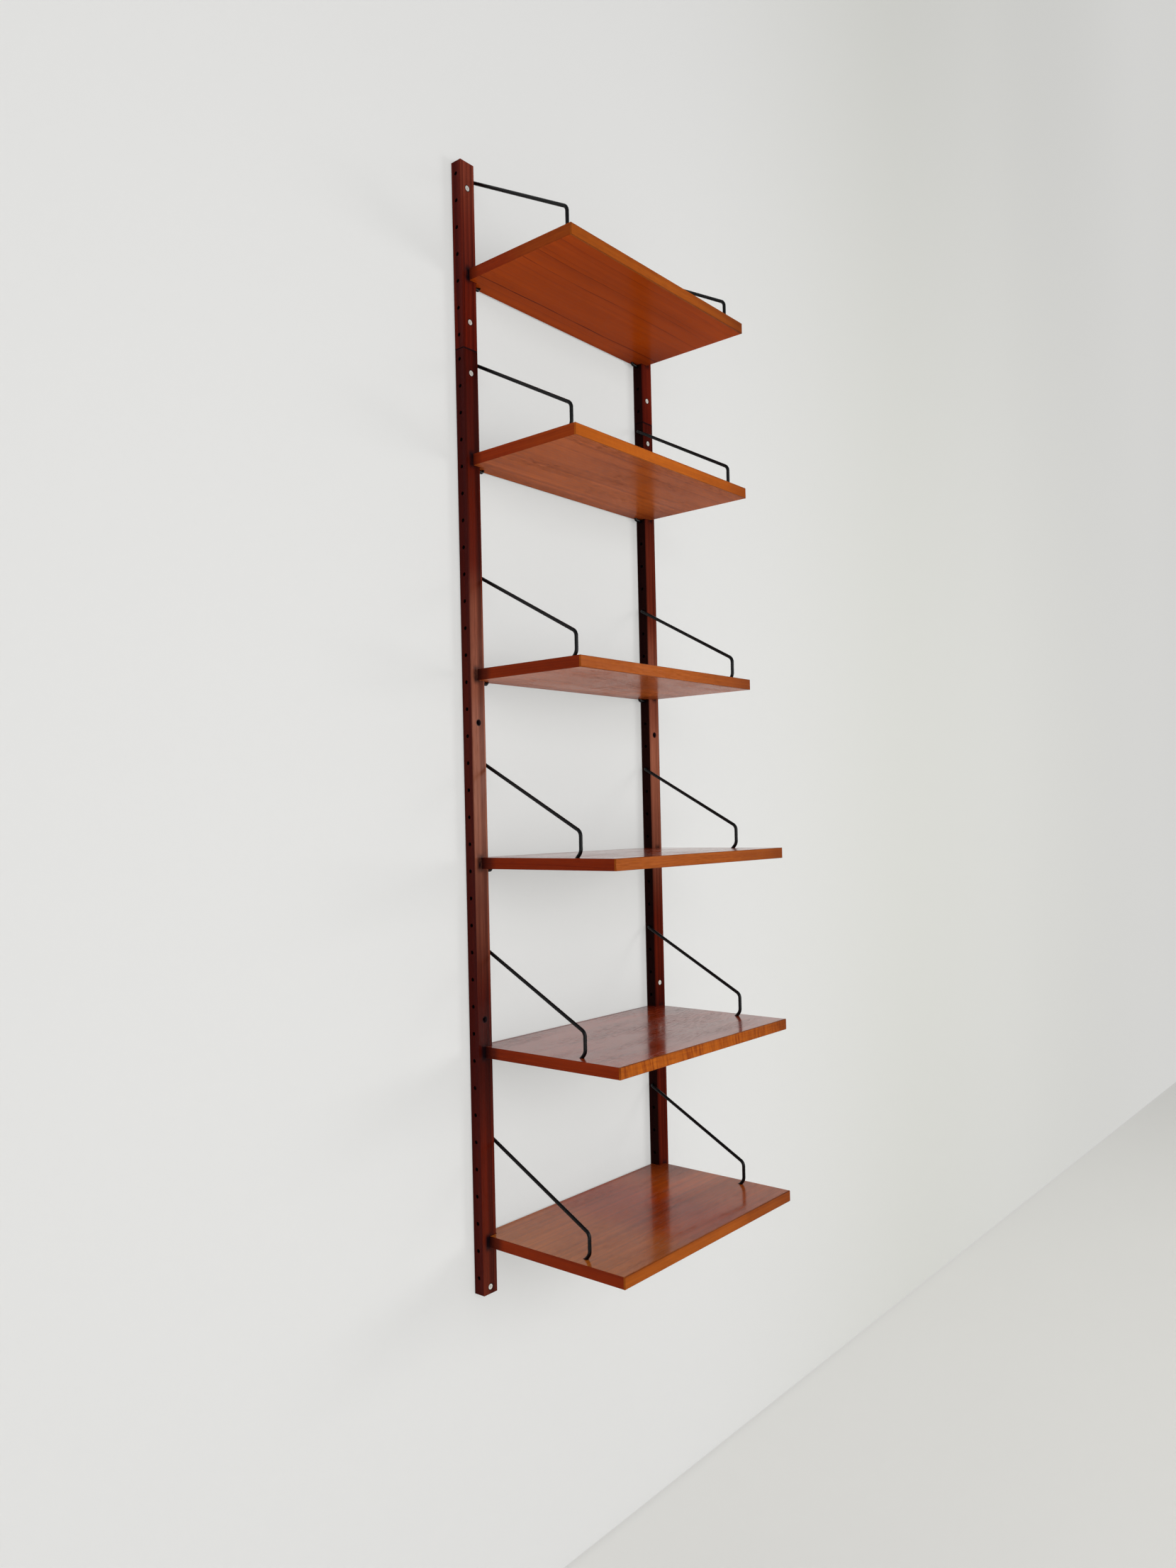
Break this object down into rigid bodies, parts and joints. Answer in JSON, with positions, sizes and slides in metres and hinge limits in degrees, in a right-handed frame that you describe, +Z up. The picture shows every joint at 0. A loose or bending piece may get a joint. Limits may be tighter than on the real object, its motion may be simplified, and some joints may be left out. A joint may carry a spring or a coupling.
{
  "type": "wall-hung bookcase",
  "caption": "Open wall-hung bookcase: wooden shelves rest on bent pins and hang from bent black rods, both hooked into holes up the sides of screwed-on wooden rails.",
  "frame": {"origin": "in the wall plane behind the rails, at the middle of the rectangle of the four outermost wall screws", "axes": "+X along the wall to the right as seen from the room, +Y into the wall, so the fronts face -Y, and +Z up"},
  "size_m": [0.533, 0.333, 1.89],
  "materials": {
    "rail_teak": "satin lacquer over dark red-brown teak",
    "shelf_veneer": "satin lacquer over orange-brown teak veneer",
    "front_strip_teak": "satin lacquer over light orange-brown teak",
    "black_rod": "satin black",
    "screw_zinc": "zinc plated"
  },
  "bodies": {
    "rails": {"lower_rail_left": "rail_teak", "lower_rail_right": "rail_teak", "upper_rail_left": "rail_teak", "upper_rail_right": "rail_teak", "wall_screws": "screw_zinc", "rear_pin_1_left": "black_rod", "rear_pin_1_right": "black_rod", "rear_pin_2_left": "black_rod", "rear_pin_2_right": "black_rod", "rear_pin_3_left": "black_rod", "rear_pin_3_right": "black_rod", "rear_pin_4_left": "black_rod", "rear_pin_4_right": "black_rod", "rear_pin_5_left": "black_rod", "rear_pin_5_right": "black_rod", "rear_pin_6_left": "black_rod", "rear_pin_6_right": "black_rod"},
    "shelf_1": {"shelf_1_panel": "shelf_veneer", "shelf_1_front_strip": "front_strip_teak"},
    "shelf_2": {"shelf_2_panel": "shelf_veneer", "shelf_2_front_strip": "front_strip_teak"},
    "shelf_3": {"shelf_3_panel": "shelf_veneer", "shelf_3_front_strip": "front_strip_teak"},
    "shelf_4": {"shelf_4_panel": "shelf_veneer", "shelf_4_front_strip": "front_strip_teak"},
    "shelf_5": {"shelf_5_panel": "shelf_veneer", "shelf_5_front_strip": "front_strip_teak"},
    "shelf_6": {"shelf_6_panel": "shelf_veneer", "shelf_6_front_strip": "front_strip_teak"},
    "hanger_1_left": {"hanger_1_left": "black_rod"},
    "hanger_1_right": {"hanger_1_right": "black_rod"},
    "hanger_2_left": {"hanger_2_left": "black_rod"},
    "hanger_2_right": {"hanger_2_right": "black_rod"},
    "hanger_3_left": {"hanger_3_left": "black_rod"},
    "hanger_3_right": {"hanger_3_right": "black_rod"},
    "hanger_4_left": {"hanger_4_left": "black_rod"},
    "hanger_4_right": {"hanger_4_right": "black_rod"},
    "hanger_5_left": {"hanger_5_left": "black_rod"},
    "hanger_5_right": {"hanger_5_right": "black_rod"},
    "hanger_6_left": {"hanger_6_left": "black_rod"},
    "hanger_6_right": {"hanger_6_right": "black_rod"}
  },
  "joints": [
    {"name": "shelf_1_lift", "type": "slide", "parent": "rails", "child": "shelf_1", "axis": [0, 0, 1], "range_m": [0, 0.02]},
    {"name": "hanger_1_left_swing", "type": "hinge", "parent": "rails", "child": "hanger_1_left", "pos_m": [-0.2335, -0.0105, 0.93975], "axis": [-1, 0, 0], "range_deg": [0, 55]},
    {"name": "hanger_1_right_swing", "type": "hinge", "parent": "rails", "child": "hanger_1_right", "pos_m": [0.2335, -0.0105, 0.93975], "axis": [-1, 0, 0], "range_deg": [0, 55]},
    {"name": "shelf_2_lift", "type": "slide", "parent": "rails", "child": "shelf_2", "axis": [0, 0, 1], "range_m": [0, 0.02]},
    {"name": "hanger_2_left_swing", "type": "hinge", "parent": "rails", "child": "hanger_2_left", "pos_m": [-0.2335, -0.0105, 0.62925], "axis": [-1, 0, 0], "range_deg": [0, 55]},
    {"name": "hanger_2_right_swing", "type": "hinge", "parent": "rails", "child": "hanger_2_right", "pos_m": [0.2335, -0.0105, 0.62925], "axis": [-1, 0, 0], "range_deg": [0, 55]},
    {"name": "shelf_3_lift", "type": "slide", "parent": "rails", "child": "shelf_3", "axis": [0, 0, 1], "range_m": [0, 0.02]},
    {"name": "hanger_3_left_swing", "type": "hinge", "parent": "rails", "child": "hanger_3_left", "pos_m": [-0.2335, -0.0105, 0.26925], "axis": [-1, 0, 0], "range_deg": [0, 55]},
    {"name": "hanger_3_right_swing", "type": "hinge", "parent": "rails", "child": "hanger_3_right", "pos_m": [0.2335, -0.0105, 0.26925], "axis": [-1, 0, 0], "range_deg": [0, 55]},
    {"name": "shelf_4_lift", "type": "slide", "parent": "rails", "child": "shelf_4", "axis": [0, 0, 1], "range_m": [0, 0.02]},
    {"name": "hanger_4_left_swing", "type": "hinge", "parent": "rails", "child": "hanger_4_left", "pos_m": [-0.2335, -0.0105, -0.04575], "axis": [-1, 0, 0], "range_deg": [0, 55]},
    {"name": "hanger_4_right_swing", "type": "hinge", "parent": "rails", "child": "hanger_4_right", "pos_m": [0.2335, -0.0105, -0.04575], "axis": [-1, 0, 0], "range_deg": [0, 55]},
    {"name": "shelf_5_lift", "type": "slide", "parent": "rails", "child": "shelf_5", "axis": [0, 0, 1], "range_m": [0, 0.02]},
    {"name": "hanger_5_left_swing", "type": "hinge", "parent": "rails", "child": "hanger_5_left", "pos_m": [-0.2335, -0.0105, -0.36075], "axis": [-1, 0, 0], "range_deg": [0, 55]},
    {"name": "hanger_5_right_swing", "type": "hinge", "parent": "rails", "child": "hanger_5_right", "pos_m": [0.2335, -0.0105, -0.36075], "axis": [-1, 0, 0], "range_deg": [0, 55]},
    {"name": "shelf_6_lift", "type": "slide", "parent": "rails", "child": "shelf_6", "axis": [0, 0, 1], "range_m": [0, 0.02]},
    {"name": "hanger_6_left_swing", "type": "hinge", "parent": "rails", "child": "hanger_6_left", "pos_m": [-0.2335, -0.0105, -0.67575], "axis": [-1, 0, 0], "range_deg": [0, 55]},
    {"name": "hanger_6_right_swing", "type": "hinge", "parent": "rails", "child": "hanger_6_right", "pos_m": [0.2335, -0.0105, -0.67575], "axis": [-1, 0, 0], "range_deg": [0, 55]}
  ],
  "couplings": [
    {"joint": "hanger_1_left_swing", "follows": "shelf_1_lift", "rad_per_m": 47.9},
    {"joint": "hanger_1_right_swing", "follows": "shelf_1_lift", "rad_per_m": 47.9},
    {"joint": "hanger_2_left_swing", "follows": "shelf_2_lift", "rad_per_m": 47.9},
    {"joint": "hanger_2_right_swing", "follows": "shelf_2_lift", "rad_per_m": 47.9},
    {"joint": "hanger_3_left_swing", "follows": "shelf_3_lift", "rad_per_m": 47.9},
    {"joint": "hanger_3_right_swing", "follows": "shelf_3_lift", "rad_per_m": 47.9},
    {"joint": "hanger_4_left_swing", "follows": "shelf_4_lift", "rad_per_m": 47.9},
    {"joint": "hanger_4_right_swing", "follows": "shelf_4_lift", "rad_per_m": 47.9},
    {"joint": "hanger_5_left_swing", "follows": "shelf_5_lift", "rad_per_m": 47.9},
    {"joint": "hanger_5_right_swing", "follows": "shelf_5_lift", "rad_per_m": 47.9},
    {"joint": "hanger_6_left_swing", "follows": "shelf_6_lift", "rad_per_m": 47.9},
    {"joint": "hanger_6_right_swing", "follows": "shelf_6_lift", "rad_per_m": 47.9}
  ]
}
